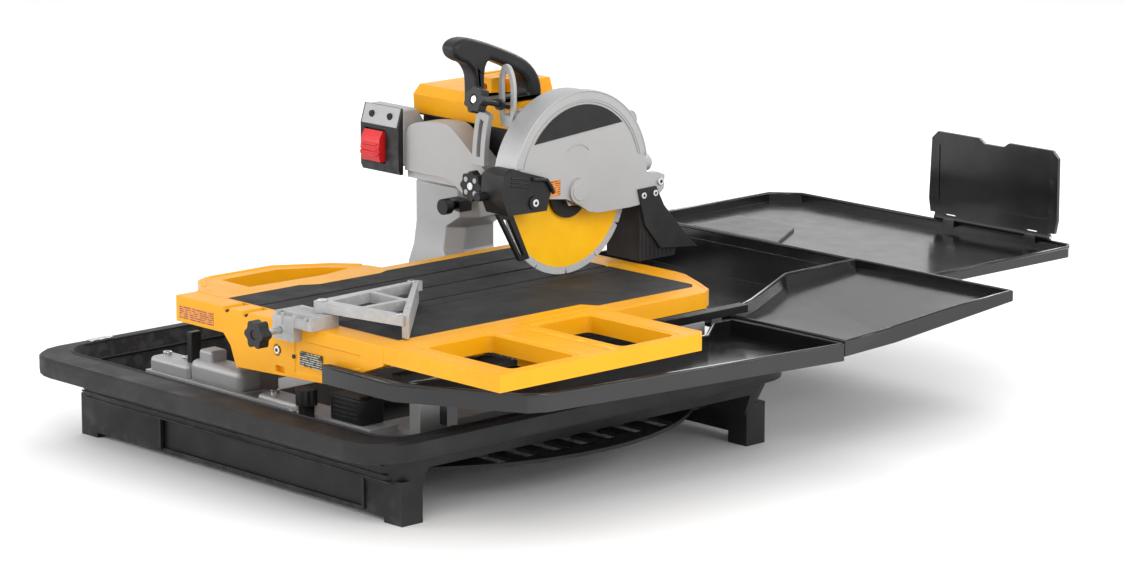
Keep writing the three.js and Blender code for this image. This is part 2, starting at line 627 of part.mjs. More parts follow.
add('lock_knob', 'black', lockKnob());
add('blade_guard', 'cast', guard());
add('guard_badge', 'black', prism('x', arc(GUARD_Y, GUARD_Z, 119, 44, 145, 16), 190.3, 191.6));
add('nozzle_block', 'black', nozzleBlock());
add('nozzle_bar', 'black', bar());
add('rear_flap', 'rubber', prism('x', [[276, 384], [315, 385], [332, 353], [390, 289], [407, 277],
  [325, 285], [291, 326]], 190.3, 193.3));
add('rear_curtain', 'rubber', curtain());
bladeGroup();
add('side_tray', 'gloss', sideTray());
add('corner_tray', 'gloss', cornerTray());
add('bridge_tray', 'gloss', bridgeTray());
add('rear_tray', 'gloss', rearTray());
add('splash_board', 'gloss', splashBoard());
add('hinge_pin', 'steel', rod('x', HINGE_Y, HINGE_Z, 2.6, 126, 382, 16));

export default part;
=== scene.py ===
import json
import math

import bmesh
import bpy
from mathutils import Matrix, Vector


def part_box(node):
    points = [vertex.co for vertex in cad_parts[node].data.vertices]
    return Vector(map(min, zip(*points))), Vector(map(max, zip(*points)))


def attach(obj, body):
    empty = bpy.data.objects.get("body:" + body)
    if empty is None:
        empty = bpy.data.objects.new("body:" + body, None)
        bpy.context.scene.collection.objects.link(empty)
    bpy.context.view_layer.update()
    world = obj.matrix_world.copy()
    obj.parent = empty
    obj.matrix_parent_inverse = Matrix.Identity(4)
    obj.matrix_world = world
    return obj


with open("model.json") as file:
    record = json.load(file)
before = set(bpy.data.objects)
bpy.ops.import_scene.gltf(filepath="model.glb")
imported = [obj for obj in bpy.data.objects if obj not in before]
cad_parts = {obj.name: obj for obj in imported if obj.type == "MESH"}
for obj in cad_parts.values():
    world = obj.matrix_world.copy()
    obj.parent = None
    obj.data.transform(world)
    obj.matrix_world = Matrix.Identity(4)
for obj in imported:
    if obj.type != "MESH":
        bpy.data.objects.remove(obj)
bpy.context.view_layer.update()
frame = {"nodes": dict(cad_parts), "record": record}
NODES = frame["nodes"]


# ---- shader helpers ------------------------------------------------------------------------

class Shader:
    """A Principled material with object-space noise on colour, roughness and bump."""

    def __init__(self, name, rough, metal=0.0):
        self.mat = bpy.data.materials.new(name)
        self.mat.use_nodes = True
        self.nt = self.mat.node_tree
        self.bsdf = self.nt.nodes["Principled BSDF"]
        self.bsdf.inputs["Metallic"].default_value = metal
        self.bsdf.inputs["Roughness"].default_value = rough
        self.coord = self.nt.nodes.new("ShaderNodeTexCoord").outputs["Object"]
        self.normal = None

    def node(self, kind, **values):
        n = self.nt.nodes.new(kind)
        for key, value in values.items():
            setattr(n, key, value)
        return n

    def link(self, a, b):
        self.nt.links.new(a, b)

    def noise(self, scale, detail=4.0, rough=0.55, stretch=None):
        n = self.node("ShaderNodeTexNoise")
        n.inputs["Scale"].default_value = scale
        n.inputs["Detail"].default_value = detail
        n.inputs["Roughness"].default_value = rough
        source = self.coord
        if stretch:
            m = self.node("ShaderNodeMapping")
            m.inputs["Scale"].default_value = stretch
            self.link(self.coord, m.inputs["Vector"])
            source = m.outputs["Vector"]
        self.link(source, n.inputs["Vector"])
        return n.outputs["Fac"]

    def ramp(self, fac, low, high, a=0.0, b=1.0):
        r = self.node("ShaderNodeMapRange")
        r.inputs["From Min"].default_value = low
        r.inputs["From Max"].default_value = high
        r.inputs["To Min"].default_value = a
        r.inputs["To Max"].default_value = b
        self.link(fac, r.inputs["Value"])
        return r.outputs["Result"]

    def mix(self, fac, a, b):
        m = self.node("ShaderNodeMix", data_type="RGBA")
        self.link(fac, m.inputs["Factor"])
        for value, socket in ((a, m.inputs["A"]), (b, m.inputs["B"])):
            if isinstance(value, tuple):
                socket.default_value = (*value, 1.0)
            else:
                self.link(value, socket)
        return m.outputs["Result"]

    def math(self, operation, a, b=None):
        m = self.node("ShaderNodeMath", operation=operation)
        for value, socket in ((a, m.inputs[0]), (b, m.inputs[1])):
            if value is None:
                continue
            if isinstance(value, float):
                socket.default_value = value
            else:
                self.link(value, socket)
        return m.outputs["Value"]

    def bump(self, height, distance, strength=0.6):
        b = self.node("ShaderNodeBump")
        b.inputs["Strength"].default_value = strength
        b.inputs["Distance"].default_value = distance
        self.link(height, b.inputs["Height"])
        if self.normal:
            self.link(self.normal, b.inputs["Normal"])
        self.normal = b.outputs["Normal"]

    # Lighter edges from pointiness and patchy noise: worn edges on the yellow paint and the plastics, and a
    # painted highlight along the rims of the cast silver.
    def edges(self, low=0.56, high=0.66, strength=0.6):
        g = self.node("ShaderNodeNewGeometry")
        edge_wear_and_highlight = self.ramp(g.outputs["Pointiness"], low, high, 0.0, strength)
        return self.math("MULTIPLY", edge_wear_and_highlight, self.ramp(self.noise(60.0), 0.42, 0.62))

    def finish(self, colour, rough=None):
        self.link(colour, self.bsdf.inputs["Base Color"])
        if rough:
            self.link(rough, self.bsdf.inputs["Roughness"])
        if self.normal:
            self.link(self.normal, self.bsdf.inputs["Normal"])
        return self.mat


def paint_material():
    s = Shader("cast_yellow_paint", 0.4)
    tone = s.mix(s.ramp(s.noise(7.0), 0.3, 0.7), (0.80, 0.345, 0.003), (0.86, 0.385, 0.004))
    dusty = s.mix(s.ramp(s.noise(160.0, 6.0), 0.56, 0.75, 0.0, 0.3), tone, (0.74, 0.33, 0.006))
    colour = s.mix(s.edges(), dusty, (0.95, 0.55, 0.06))
    s.bump(s.noise(900.0, 3.0), 0.00022, 0.45)
    s.bump(s.noise(45.0, 3.0), 0.0004, 0.25)
    s.bsdf.inputs["Specular IOR Level"].default_value = 0.22
    s.bsdf.inputs["Coat Weight"].default_value = 0.10
    s.bsdf.inputs["Coat Roughness"].default_value = 0.2
    return s.finish(colour, s.ramp(s.noise(30.0, 5.0), 0.3, 0.7, 0.30, 0.46))


def cast_material(name="cast_silver_paint", light=0.43):
    s = Shader(name, 0.42, 0.3)
    base = s.mix(s.ramp(s.noise(9.0), 0.3, 0.7),
                 (light * 0.94,) * 3, (light, light * 1.01, light * 1.02))
    speck = s.mix(s.ramp(s.noise(1500.0, 2.0), 0.56, 0.66, 0.0, 0.4), base, (light * 0.6,) * 3)
    # Edges mixed towards a light grey: a painted highlight along the rims of the casting.
    colour = s.mix(s.edges(strength=0.3), speck, (0.60, 0.60, 0.61))
    s.bump(s.noise(1100.0, 3.0), 0.0003, 0.5)
    s.bump(s.noise(70.0, 4.0), 0.0004, 0.22)
    return s.finish(colour, s.ramp(s.noise(40.0, 5.0), 0.3, 0.7, 0.38, 0.48))


def plastic_material(name, dark, light, rough, grain, depth, coat=0.0, shine=0.28, scuff=0.2):
    """Moulded plastic or rubber: mottled between dark and light, scuffed in streaks, worn on edges."""
    s = Shader(name, rough[0])
    colour = s.mix(s.ramp(s.noise(14.0, 5.0), 0.35, 0.7), dark, light)
    streaks = s.noise(90.0, 8.0, 0.7, (1.0, 0.15, 1.0))
    scuffed = s.mix(s.ramp(streaks, 0.60, 0.72, 0.0, scuff), colour,
                    tuple(min(1.0, c * 2.4 + 0.01) for c in light))
    edge_wear_and_highlight = s.mix(s.edges(0.58, 0.68, 0.4), scuffed, tuple(min(1.0, c * 3.0 + 0.02) for c in light))
    s.bump(s.noise(grain, 2.0), depth, 0.5)
    s.bsdf.inputs["Specular IOR Level"].default_value = shine
    s.bsdf.inputs["Coat Weight"].default_value = coat
    s.bsdf.inputs["Coat Roughness"].default_value = 0.12
    return s.finish(edge_wear_and_highlight, s.ramp(s.noise(24.0, 6.0), 0.3, 0.7, rough[0], rough[1]))


def steel_material():
    s = Shader("brushed_steel", 0.28, 1.0)
    streak = s.noise(260.0, 4.0, 0.6, (1.0, 6.0, 1.0))
    colour = s.mix(s.ramp(streak, 0.35, 0.7), (0.56, 0.57, 0.58), (0.75, 0.75, 0.76))
    s.bump(streak, 0.0001, 0.3)
    return s.finish(colour, s.ramp(streak, 0.3, 0.7, 0.2, 0.36))


BLADE_RIM_INNER = 0.1155    # the bare cutting rim starts at this radius
BLADE_RING_PITCH = 9000.0   # fine turned rings, in radians per metre of radius


def blade_material():
    """Yellow lacquer with a bare rim; distance from the blade's own axis separates the two."""
    s = Shader("blade_lacquer", 0.34)
    s.bsdf.inputs["Specular IOR Level"].default_value = 0.2
    low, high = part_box("blade")
    centre = (low + high) / 2
    shift = s.node("ShaderNodeVectorMath", operation="SUBTRACT")
    s.link(s.coord, shift.inputs[0])
    shift.inputs[1].default_value = (0.0, centre.y, centre.z)
    flat = s.node("ShaderNodeVectorMath", operation="MULTIPLY")
    s.link(shift.outputs[0], flat.inputs[0])
    flat.inputs[1].default_value = (0.0, 1.0, 1.0)
    length = s.node("ShaderNodeVectorMath", operation="LENGTH")
    s.link(flat.outputs[0], length.inputs[0])
    radius = length.outputs["Value"]
    rings = s.ramp(s.math("SINE", s.math("MULTIPLY", radius, BLADE_RING_PITCH)), -1.0, 1.0)
    body = s.mix(s.ramp(s.noise(40.0, 5.0), 0.35, 0.7), (0.98, 0.50, 0.006), (1.0, 0.56, 0.010))
    rim = s.mix(s.ramp(s.noise(700.0, 3.0), 0.4, 0.6), (0.40, 0.40, 0.41), (0.55, 0.55, 0.56))
    colour = s.mix(s.math("GREATER_THAN", radius, BLADE_RIM_INNER), body, rim)
    s.bump(rings, 0.00003, 0.25)
    return s.finish(colour, s.ramp(s.noise(60.0), 0.3, 0.7, 0.28, 0.42))


def label_material(name, ground, bar):
    """Broken plain bars on a flat ground, with nothing to read."""
    s = Shader(name, 0.4)
    bars = s.node("ShaderNodeTexWave", bands_direction="Z")
    bars.inputs["Scale"].default_value = 95.0
    bars.inputs["Distortion"].default_value = 0.4
    s.link(s.coord, bars.inputs["Vector"])
    stripe = s.ramp(bars.outputs["Fac"], 0.62, 0.66)
    broken = s.math("MULTIPLY", stripe, s.ramp(s.noise(170.0), 0.44, 0.48))
    return s.finish(s.mix(broken, ground, bar), s.ramp(s.noise(90.0), 0.3, 0.7, 0.3, 0.5))


MATS = {
    "yellow": paint_material(),
    "cast": cast_material(),
    "dark_cast": cast_material("cast_silver_shadow", 0.38),
    "tub": plastic_material("tub_texture", (0.012, 0.012, 0.013), (0.022, 0.022, 0.023), (0.42, 0.6),
                            1300.0, 0.0004),
    "gloss": plastic_material("gloss_tray", (0.007, 0.007, 0.008), (0.011, 0.011, 0.012), (0.14, 0.26),
                              500.0, 0.0001, coat=0.3, shine=0.4, scuff=0.06),
    "black": plastic_material("satin_black", (0.010, 0.010, 0.011), (0.020, 0.020, 0.021), (0.3, 0.46),
                              1500.0, 0.00016),
    "rubber": plastic_material("black_rubber", (0.013, 0.013, 0.014), (0.026, 0.026, 0.027), (0.6, 0.8),
                               1800.0, 0.0003),
    "red": plastic_material("red_paddle", (0.60, 0.012, 0.016), (0.76, 0.022, 0.026), (0.26, 0.4),
                            1500.0, 0.0001, coat=0.2),
    "steel": steel_material(),
    "blade": blade_material(),
    "vent": plastic_material("vent_shadow", (0.20, 0.055, 0.004), (0.34, 0.10, 0.006), (0.5, 0.7),
                             900.0, 0.0002),
    "label_orange": label_material("label_orange", (0.72, 0.25, 0.03), (0.05, 0.03, 0.02)),
    "label_dark": label_material("label_dark", (0.015, 0.015, 0.016), (0.55, 0.53, 0.42)),
    # Lighter grey for the wedge on the rear tray: a painted reflection in the glossy black tray.
    "reflection_patch": plastic_material("painted_tray_reflection", (0.10, 0.10, 0.105), (0.16, 0.16, 0.165), (0.35, 0.5),
                                  900.0, 0.0002),
}

# The look that each of the record's material slots gets.
SLOT_LOOK = {
    "yellow_paint": "yellow", "tub_plastic": "tub", "tray_plastic": "gloss", "cast_silver": "cast",
    "post_casting": "cast", "rail_dark": "black", "steel": "steel", "rubber": "rubber",
    "black_plastic": "black", "red_plastic": "red", "blade_steel": "blade", "motor_core": "dark_cast",
}

# Edge radius in metres and bevel segments on the carried-over CAD solids.
SOFT_EDGE = {
    "handle": (0.0075, 4), "upper_quadrant": (0.0012, 2), "tub": (0.0022, 2),
    "blade_guard": (0.0022, 2), "arm": (0.0035, 3), "column": (0.0026, 2), "fence": (0.0022, 2),
    "cart_table": (0.0018, 2), "extension_table": (0.0022, 2), "motor_cover": (0.005, 3),
    "motor_body": (0.004, 3), "switch_box": (0.004, 3), "nozzle_block": (0.004, 3),
    "base_frame": (0.004, 3), "side_tray": (0.0016, 2), "corner_tray": (0.0016, 2),
    "rear_tray": (0.0016, 2), "bridge_tray": (0.0016, 2), "switch_paddle": (0.0022, 3),
    "head_frame": (0.003, 2), "guide_clamp": (0.0012, 2), "guide_knob": (0.0024, 3),
    "lock_knob": (0.0026, 3), "arm_knob": (0.0022, 3), "leveller_knob": (0.0012, 2),
    "water_pump": (0.003, 3), "guard_badge": (0.0004, 1), "cart_mat": (0.0008, 2),
}
PLAIN_EDGE = (0.0007, 2)


def dress_cad():
    for entry in frame["record"]["subparts"]:
        obj = NODES[entry["node"]]
        obj.data.materials.clear()
        obj.data.materials.append(MATS[SLOT_LOOK[entry["material_slot"]]])
        width, segments = SOFT_EDGE.get(obj.name, PLAIN_EDGE)
        weld = obj.modifiers.new("weld", "WELD")
        weld.merge_threshold = 0.00002
        flat = obj.modifiers.new("flat", "DECIMATE")
        flat.decimate_type = "DISSOLVE"
        flat.angle_limit = math.radians(1.0)
        soft = bevel(obj, width, segments, 32.0)
        soft.use_clamp_overlap = obj.name != "handle"  # only the handle is rounded all the way
        even = obj.modifiers.new("even_normals", "WEIGHTED_NORMAL")
        even.keep_sharp = True


# ---- added pieces --------------------------------------------------------------------------

def place(obj, look, body):
    obj.data.materials.append(MATS[look])
    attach(obj, body)
    return obj


def new_mesh(name, verts, faces):
    mesh = bpy.data.meshes.new(name)
    mesh.from_pydata([tuple(v) for v in verts], [], faces)
    mesh.update()
    obj = bpy.data.objects.new(name, mesh)
    bpy.context.scene.collection.objects.link(obj)
    return obj


def bevel(obj, width, segments, angle):
    """Round the edges sharper than an angle in degrees and shade the faces smooth."""
    soft = obj.modifiers.new("soft_edges", "BEVEL")
    soft.width = width
    soft.segments = segments
    soft.limit_method = "ANGLE"
    soft.angle_limit = math.radians(angle)
    soft.harden_normals = True
    for polygon in obj.data.polygons:
        polygon.use_smooth = True
    return soft


def block(name, low, high, look, body, width=0.0015):
    """A box with its edges rounded by a width."""
    (x0, y0, z0), (x1, y1, z1) = low, high
    verts = [(x, y, z) for x in (x0, x1) for y in (y0, y1) for z in (z0, z1)]
    faces = [(0, 1, 3, 2), (4, 6, 7, 5), (0, 4, 5, 1), (2, 3, 7, 6), (0, 2, 6, 4), (1, 5, 7, 3)]
    obj = new_mesh(name, verts, faces)
    bevel(obj, width, 3, 30.0)
    place(obj, look, body)


def extruded(name, axis, outline, a, b, look, body, width=0.001):
    """A prism of an outline in the plane across the axis, from a to b along it."""
    def point(u, v, w):
        return {"x": (w, u, v), "y": (u, w, v), "z": (u, v, w)}[axis]
    n = len(outline)
    verts = [point(u, v, a) for u, v in outline] + [point(u, v, b) for u, v in outline]
    faces = [tuple(range(n)), tuple(range(2 * n - 1, n - 1, -1))]
    faces += [(i, i + n, (i + 1) % n + n, (i + 1) % n) for i in range(n)]
    obj = new_mesh(name, verts, faces)
    bm = bmesh.new()
    bm.from_mesh(obj.data)
    bmesh.ops.recalc_face_normals(bm, faces=bm.faces)
    bm.to_mesh(obj.data)
    bm.free()
    bevel(obj, width, 2, 30.0)
    place(obj, look, body)


def ring_points(u, v, r, n, start=0.0, sweep=360.0):
    """n points of a circle, or of an arc with both of its ends, angles in degrees."""
    full = abs(sweep) >= 360.0
    steps = n if full else n - 1
    return [(u + r * math.cos(math.radians(start + sweep * i / steps)),
             v + r * math.sin(math.radians(start + sweep * i / steps))) for i in range(n)]


def disc(name, axis, centre, r, a, b, look, body, n=32, width=0.0008):
    extruded(name, axis, ring_points(*centre, r, n), a, b, look, body, width)


def wire(name, points, r, look, body, closed=False):
    """A round bead of radius r through the points."""
    curve = bpy.data.curves.new(name, "CURVE")
    curve.dimensions = "3D"
    curve.bevel_depth = r
    curve.bevel_resolution = 3
    curve.use_fill_caps = True
    spline = curve.splines.new("POLY")
    spline.points.add(len(points) - 1)
    for p, co in zip(spline.points, points):
        p.co = (*co, 1.0)
    spline.use_cyclic_u = closed
    obj = bpy.data.objects.new(name, curve)
    bpy.context.scene.collection.objects.link(obj)
    place(obj, look, body)


def rounded_loop(x0, x1, y0, y1, r, z, n=7):
    """A rectangle with rounded corners, n points to a corner."""
    corners = [(x1 - r, y0 + r, -90), (x1 - r, y1 - r, 0), (x0 + r, y1 - r, 90), (x0 + r, y0 + r, 180)]
    return [(x, y, z) for cx, cy, a in corners for x, y in ring_points(cx, cy, r, n, a, 90)]


def socket_screw(name, axis, centre, r, face, out, look, body):
    """A round head with a six-sided socket, standing on a face along the axis."""
    disc(name, axis, centre, r, face, face + out, look, body, 28, 0.0006)
    depth = face + out * 1.02
    disc(name + "_socket", axis, centre, r * 0.5, face + out * 0.4, depth, "black", body, 6, 0.0001)


RIM_BEAD_X = 0.4202


def tub_details():
    low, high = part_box("tub")
    rim = high.z
    outer = rounded_loop(-RIM_BEAD_X, RIM_BEAD_X, low.y + 0.0028, high.y - 0.0005, 0.07, rim - 0.0275)
    inner = rounded_loop(-0.3985, 0.3985, -0.4045, 0.3785, 0.05, rim - 0.0005)
    waist = rounded_loop(-0.3885, 0.3885, -0.3905, 0.3675, 0.045, 0.112)
    wire("tub_rim_bead", outer, 0.0026, "tub", "base", True)
    wire("tub_rim_inner_bead", inner, 0.0022, "tub", "base", True)
    wire("tub_wall_rib", waist, 0.0022, "tub", "base", True)
    for i, (z, y) in enumerate(((0.091, -0.3945), (0.074, -0.3858), (0.063, -0.3800))):
        wire(f"tub_front_ridge_{i}", [(-0.365, y, z), (0.365, y, z)], 0.0017, "tub", "base")
    for i, x in enumerate((-0.18, 0.30)):
        block(f"tub_front_rib_{i}", (x - 0.003, -0.379, 0.012), (x + 0.003, -0.372, 0.062),
              "tub", "base", 0.001)
    block("tub_clip_plate", (-0.4165, -0.338, rim), (-0.401, -0.300, rim + 0.0025),
          "steel", "base", 0.0008)
    wire("tub_clip_wire", [(-0.401, -0.334, rim + 0.003), (-0.389, -0.330, rim + 0.006),
                           (-0.389, -0.308, rim + 0.006), (-0.401, -0.304, rim + 0.003)],
         0.0013, "steel", "base")


FRAME_TOP = 0.122
# Name, low and high corner above the frame's top, look and edge radius of each raised casting.
FRAME_BLOCKS = (
    ("frame_boss_left", (-0.246, -0.346, -0.004), (-0.150, -0.300, 0.022), "cast", 0.008),
    ("frame_boss_mid", (-0.146, -0.347, -0.004), (-0.022, -0.300, 0.034), "cast", 0.012),
    ("frame_boss_neck", (-0.132, -0.338, 0.030), (-0.100, -0.306, 0.050), "cast", 0.005),
    ("frame_bracket", (-0.168, -0.332, 0.018), (-0.156, -0.312, 0.070), "black", 0.002),
    ("frame_boss_right", (0.018, -0.346, -0.004), (0.112, -0.304, 0.008), "cast", 0.007),
)
FRAME_BOLTS = (
    (-0.228, -0.323, 0.022), (-0.180, -0.323, 0.022), (-0.050, -0.323, 0.034),
    (0.036, -0.325, 0.008), (0.094, -0.325, 0.008),
)


def frame_details():
    for name, (x0, y0, z0), (x1, y1, z1), look, width in FRAME_BLOCKS:
        block(name, (x0, y0, FRAME_TOP + z0), (x1, y1, FRAME_TOP + z1), look, "base", width)
    for i, (x, y, z) in enumerate(FRAME_BOLTS):
        socket_screw(f"frame_bolt_{i}", "z", (x, y), 0.0072, FRAME_TOP + z - 0.0005, 0.006, "steel", "base")
    socket_screw("leveller_bolt", "z", (0.127, -0.366), 0.006, 0.1188, 0.008, "steel", "base")
    low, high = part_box("water_pump")
    for i in range(5):
        y = low.y - 0.0008
        z = low.z + 0.007 + i * 0.0065
        block(f"pump_grille_{i}", (low.x + 0.010, y, z), (high.x - 0.010, y + 0.002, z + 0.003),
              "tub", "base", 0.0006)


FENCE_BOLT = (0.110, 0.217)
CART_EDGE = (
    (0.366, 0.0295), (0.3965, 0.0300), (0.3945, 0.216), (0.3815, 0.2365), (0.3375, 0.2590),
    (0.2825, 0.2850), (0.2600, 0.2885), (-0.054, 0.2885),
)
HAND_HOLD = (
    (-0.110, -0.030), (-0.146, -0.060), (-0.196, -0.142), (-0.197, -0.262), (-0.186, -0.284),
    (-0.150, -0.309),
)
WINDOW_RIBS = ((0.390, 0.588, -0.349, -0.209), (0.390, 0.590, -0.137, -0.014))


def cart_details():
    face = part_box("fence")[0].y
    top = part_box("fence")[1].z
    disc("fence_bolt_seat", "y", FENCE_BOLT, 0.0085, face + 0.0045, face + 0.0058, "steel", "cart", 28)
    disc("fence_bolt", "y", FENCE_BOLT, 0.0062, face - 0.0015, face + 0.005, "steel", "cart", 28)
    disc("fence_bolt_socket", "y", FENCE_BOLT, 0.0032, face - 0.0017, face, "black", "cart", 6, 0.0001)
    disc("fence_small_screw", "y", (0.148, 0.2135), 0.0036, face - 0.0008, face + 0.001,
         "black", "cart", 20)
    block("fence_plate_dark", (0.163, face - 0.0007, 0.203), (0.213, face + 0.002, 0.224),
          "label_dark", "cart", 0.0004)
    block("fence_plate_orange", (-0.122, face - 0.0008, 0.2285), (-0.040, face + 0.0005, 0.2485),
          "label_orange", "cart", 0.0004)
    for i, x in enumerate((-0.010, 0.035)):
        disc(f"fence_notch_pad_{i}", "y", (x, top - 0.0075), 0.0042, face + 0.002, face + 0.038,
             "black", "cart", 20)
    for i, (x0, x1, y0, y1) in enumerate(WINDOW_RIBS):
        wire(f"extension_rib_{i}", rounded_loop(x0, x1, y0, y1, 0.012, top - 0.0002),
             0.0013, "yellow", "extension", True)
    wire("extension_rim_line", rounded_loop(0.3670, 0.5965, -0.3765, 0.0190, 0.008, top - 0.0003),
         0.0010, "yellow", "extension", True)
    wire("cart_edge_line", [(x, y, top - 0.0003) for x, y in CART_EDGE], 0.0010, "yellow", "cart")
    wire("hand_hold_rim", [(x, y, top - 0.001) for x, y in HAND_HOLD], 0.0030, "yellow", "cart")


GUIDE_ARM_FACE = 0.2979


def guide_details():
    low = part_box("guide_clamp")[0]
    for i in range(3):
        x = 0.140 + i * 0.027
        block(f"clamp_rib_{i}", (x, low.y - 0.0012, 0.264), (x + 0.004, low.y + 0.004, 0.281),
              "cast", "guide", 0.001)
    disc("guide_knob_cap", "y", (0.137, 0.254), 0.0068, -0.4445, -0.4405, "black", "guide_turn", 24)
    socket_screw("guide_end_bolt", "z", (0.168, -0.168), 0.0062, GUIDE_ARM_FACE, 0.0022,
                 "steel", "guide_swing")
    socket_screw("guide_fence_bolt", "z", (0.328, -0.331), 0.0050, GUIDE_ARM_FACE, 0.0022,
                 "steel", "guide_swing")


GUARD_FACE = 0.190           # right face of the blade guard
GUARD_CENTRE = (0.158, 0.412)
GUARD_ARROW = (0.1505, 0.440)
NOZZLE_SCREW = (0.050, 0.394)
SEAM_Z = 0.4835              # joint between the motor body and its cover


def guard_line(name, lift, centre, r, n, start, sweep, thickness):
    """A raised arc on the guard's right face."""
    points = [(GUARD_FACE + lift, y, z) for y, z in ring_points(*centre, r, n, start, sweep)]
    wire(name, points, thickness, "cast", "head")


def guard_details():
    guard_line("guard_arrow", 0.0004, GUARD_ARROW, 0.030, 14, 40, 95, 0.0009)
    guard_line("guard_rim_bead", 0.0004, GUARD_CENTRE, 0.1392, 48, 10, 156, 0.0016)
    guard_line("guard_inner_crease", 0.0006, GUARD_CENTRE, 0.1235, 40, 14, 150, 0.0011)
    block("guard_plate_orange", (GUARD_FACE, 0.085, 0.3955), (GUARD_FACE + 0.0006, 0.114, 0.4205),
          "label_orange", "head", 0.0002)
    socket_screw("lug_screw", "x", (0.325, 0.391), 0.0062, GUARD_FACE - 0.0002, 0.004, "steel", "head")
    for i, (y, z) in enumerate(((0.2865, 0.3735), (0.3115, 0.3745))):
        socket_screw(f"flap_screw_{i}", "x", (y, z), 0.0052, 0.1932, 0.0028, "steel", "head")
    disc("guard_boss_cap", "x", (0.152, 0.398), 0.0155, 0.1948, 0.1962, "cast", "head", 36)


def nozzle_details():
    socket_screw("nozzle_screw", "x", NOZZLE_SCREW, 0.0060, 0.1999, 0.0055, "steel", "head")
    disc("nozzle_collar", "x", NOZZLE_SCREW, 0.0105, 0.1995, 0.2035, "black", "head", 30)
    wire("nozzle_hook", [(0.2010, 0.046, 0.4305), (0.2030, 0.074, 0.4265), (0.2030, 0.0835, 0.4145),
                         (0.2025, 0.0885, 0.4045)], 0.0032, "black", "head")
    for i in range(3):
        z = 0.4185 + i * 0.0062
        wire(f"nozzle_ridge_{i}", [(0.2003, 0.004, z + 0.006), (0.2003, 0.040, z)], 0.0013,
             "black", "head")


def motor_details():
    low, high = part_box("motor_cover")
    for i in range(4):
        x = -0.0385 + i * 0.022
        block(f"cover_vent_{i}", (x, 0.153, 0.5492), (x + 0.009, 0.207, 0.5498), "vent", "head", 0.0002)
    wire("cover_seam", [(low.x + 0.0005, 0.1065, SEAM_Z), (low.x + 0.0005, 0.2235, SEAM_Z)],
         0.0012, "black", "head")
    wire("cover_front_seam", [(low.x + 0.002, 0.1055, SEAM_Z), (high.x - 0.002, 0.1055, SEAM_Z)],
         0.0012, "black", "head")


def curtain_details():
    """Upright ribs whose tops follow the curtain's upper edge, level and then falling."""
    for i in range(8):
        y = 0.290 + i * 0.0088
        top = 0.3545 if y < 0.300 else 0.3545 - (y - 0.300) * 1.177
        block(f"curtain_rib_{i}", (0.1862, y, 0.2725), (0.1884, y + 0.0036, top - 0.003),
              "rubber", "head", 0.0007)


def lock_knob_details():
    axis = Vector((0.0, 0.9659, -0.2588))
    knob = Vector((0.118, 0.010, 0.546))
    wire("lock_knob_screw", [knob - axis * 0.0088, knob - axis * 0.0055], 0.0056, "steel", "lock")


ARM_KNOB = (0.079, 0.405)


def control_details():
    for i, x in enumerate((-0.176, -0.133)):
        disc(f"switch_eye_{i}", "y", (x, 0.484), 0.0054, 0.0470, 0.0545, "rubber", "base", 24)
    for i in range(3):
        z = 0.4215 + i * 0.009
        wire(f"paddle_rib_{i}", [(-0.182, 0.0335, z), (-0.148, 0.0335, z)], 0.0012, "red", "paddle")
    plate = [(0.0448, 0.4690), (0.0462, 0.4680), (0.0556, 0.4982), (0.0543, 0.4988)]
    extruded("switch_plate", "x", plate, -0.1965, -0.1125, "dark_cast", "base", 0.0004)
    for i, centre in enumerate(ring_points(*ARM_KNOB, 0.014, 4, 45.0)):
        disc(f"spoke_{i}", "y", centre, 0.0042, 0.0280, 0.0293, "cast", "bevel_lock", 18)
    disc("arm_knob_cap", "y", ARM_KNOB, 0.0062, 0.0275, 0.0295, "steel", "bevel_lock", 24)


REAR_TRAY_RIM_Z = 0.2245
REAR_TRAY_LIP = (
    (-0.2335, 0.7010), (-0.2240, 0.6915), (0.4285, 0.6915), (0.4285, 1.0215), (0.4172, 1.0369),
    (-0.1895, 1.0369), (-0.2335, 0.9995),
)
CORNER_TRAY_LIP = (
    (0.3110, 0.3495), (0.5695, 0.3495), (0.5695, 0.4400), (0.5695, 0.4570), (0.5850, 0.5620),
    (0.6030, 0.6845), (0.2725, 0.6845), (0.2350, 0.5620), (0.2785, 0.4400),
)
SIDE_TRAY_LIP = (
    (0.2330, -0.3935), (0.3885, -0.3935), (0.5590, -0.2910), (0.5695, -0.2620), (0.5705, 0.3425),
    (0.3335, 0.3425), (0.3395, 0.2975), (0.4035, 0.2195), (0.4035, -0.3840), (0.2375, -0.3850),
)
CORNER_CLIMB = ((0.340, 0.194), (0.440, 0.199), (0.562, 0.216), (0.690, 0.229))  # y and rim height
SIDE_FALL = 0.034
# Outline of a thin grey wedge on the rear tray's floor: a painted reflection of the bright surroundings in
# the glossy black.
REFLECTION_WEDGE = [(-0.152, 0.735), (0.046, 0.735), (-0.022, 0.846), (-0.160, 0.852)]


def corner_rim_z(y):
    for (y0, z0), (y1, z1) in zip(CORNER_CLIMB, CORNER_CLIMB[1:]):
        if y <= y1:
            return z0 + (z1 - z0) * (y - y0) / (y1 - y0) - 0.0006
    return CORNER_CLIMB[-1][1]


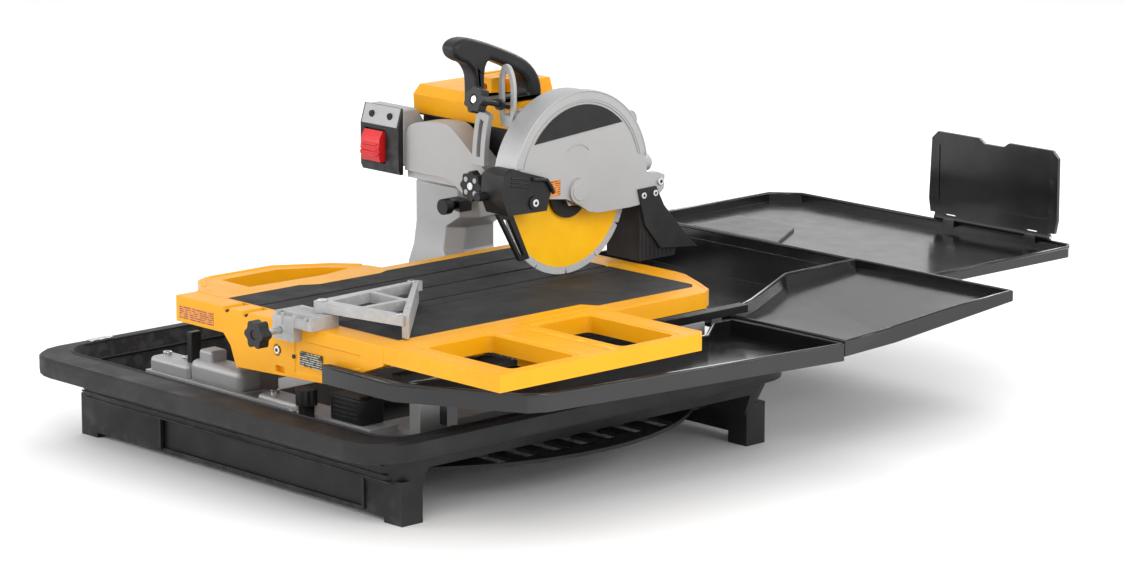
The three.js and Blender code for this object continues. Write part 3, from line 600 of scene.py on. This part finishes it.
def tray_details():
    rear = [(x, y, REAR_TRAY_RIM_Z) for x, y in REAR_TRAY_LIP]
    corner = [(x, y, corner_rim_z(y)) for x, y in CORNER_TRAY_LIP]
    side = [(x, y, 0.2155 - SIDE_FALL * (y + 0.395)) for x, y in SIDE_TRAY_LIP]
    wire("rear_tray_lip", rear, 0.0030, "gloss", "tray_rear", True)
    wire("corner_tray_lip", corner, 0.0026, "gloss", "tray_corner", True)
    wire("side_tray_lip", side, 0.0028, "gloss", "tray_side", True)
    # Painted reflection: a thin lighter grey wedge laid on the rear tray's floor.
    extruded("tray_reflection_wedge", "z", REFLECTION_WEDGE, 0.2110, 0.2165, "reflection_patch", "tray_rear", 0.001)
    for i, x in enumerate((0.158, 0.338)):
        block(f"splash_strut_{i}", (x, 1.0365, 0.242), (x + 0.012, 1.0395, 0.300),
              "gloss", "splash", 0.001)


# ---- studio --------------------------------------------------------------------------------

# Name, place and aim in metres, width and height in metres, power in watts.
SOFTBOXES = (
    ("key", (2.3, -2.2, 2.8), (0.1, 0.1, 0.25), (1.6, 1.6), 36),
    ("right_fill", (3.2, 0.3, 1.7), (0.1, 0.1, 0.3), (1.4, 1.8), 36),
    ("left_fill", (-1.9, -2.6, 1.2), (-0.1, -0.2, 0.2), (1.8, 1.2), 24),
    ("back_strip", (-0.6, 3.6, 2.3), (0.1, 0.4, 0.2), (3.0, 0.8), 55),
)
WORLD_STRENGTH = 0.95
FLOOR_HALF_SIDE = 40.0


def light_room():
    world = bpy.data.worlds.new("studio")
    bpy.context.scene.world = world
    world.use_nodes = True
    background = world.node_tree.nodes["Background"]
    background.inputs["Color"].default_value = (1.0, 1.0, 1.0, 1.0)
    background.inputs["Strength"].default_value = WORLD_STRENGTH
    for name, location, target, size, power in SOFTBOXES:
        light = bpy.data.lights.new(name, "AREA")
        light.shape = "RECTANGLE"
        light.size, light.size_y = size
        light.energy = power
        obj = bpy.data.objects.new(name, light)
        obj.location = location
        aim = Vector(target) - Vector(location)
        obj.rotation_euler = aim.to_track_quat("-Z", "Y").to_euler()
        bpy.context.scene.collection.objects.link(obj)


def floor():
    size = FLOOR_HALF_SIDE
    corners = [(-size, -size, 0), (size, -size, 0), (size, size, 0), (-size, size, 0)]
    obj = new_mesh("floor", corners, [(0, 1, 2, 3)])
    s = Shader("floor_white", 0.7)
    white = s.mix(s.ramp(s.noise(3.0), 0.3, 0.7), (0.95, 0.95, 0.95), (0.97, 0.97, 0.97))
    obj.data.materials.append(s.finish(white))


CAMERA_PLACE = (4.99085, -4.32872, 1.64663)
CAMERA_BACK = (0.71760, -0.66475, 0.20775)   # from the object towards the camera
LENS_MM = 139.64
SENSOR_MM = 36.0


def camera():
    data = bpy.data.cameras.new("camera")
    data.sensor_fit = "HORIZONTAL"
    data.sensor_width = SENSOR_MM
    data.lens = LENS_MM
    data.clip_end = 100.0
    obj = bpy.data.objects.new("camera", data)
    back = Vector(CAMERA_BACK).normalized()
    right = Vector((0.0, 0.0, 1.0)).cross(back).normalized()
    up = back.cross(right)
    turn = Matrix((right, up, back)).transposed().to_4x4()
    obj.matrix_world = Matrix.Translation(CAMERA_PLACE) @ turn
    bpy.context.scene.collection.objects.link(obj)
    bpy.context.scene.camera = obj


dress_cad()
tub_details()
frame_details()
cart_details()
guide_details()
guard_details()
nozzle_details()
motor_details()
lock_knob_details()
curtain_details()
control_details()
tray_details()
floor()
light_room()
camera()

bpy.context.scene.view_settings.view_transform = "Standard"
bpy.context.view_layer.update()
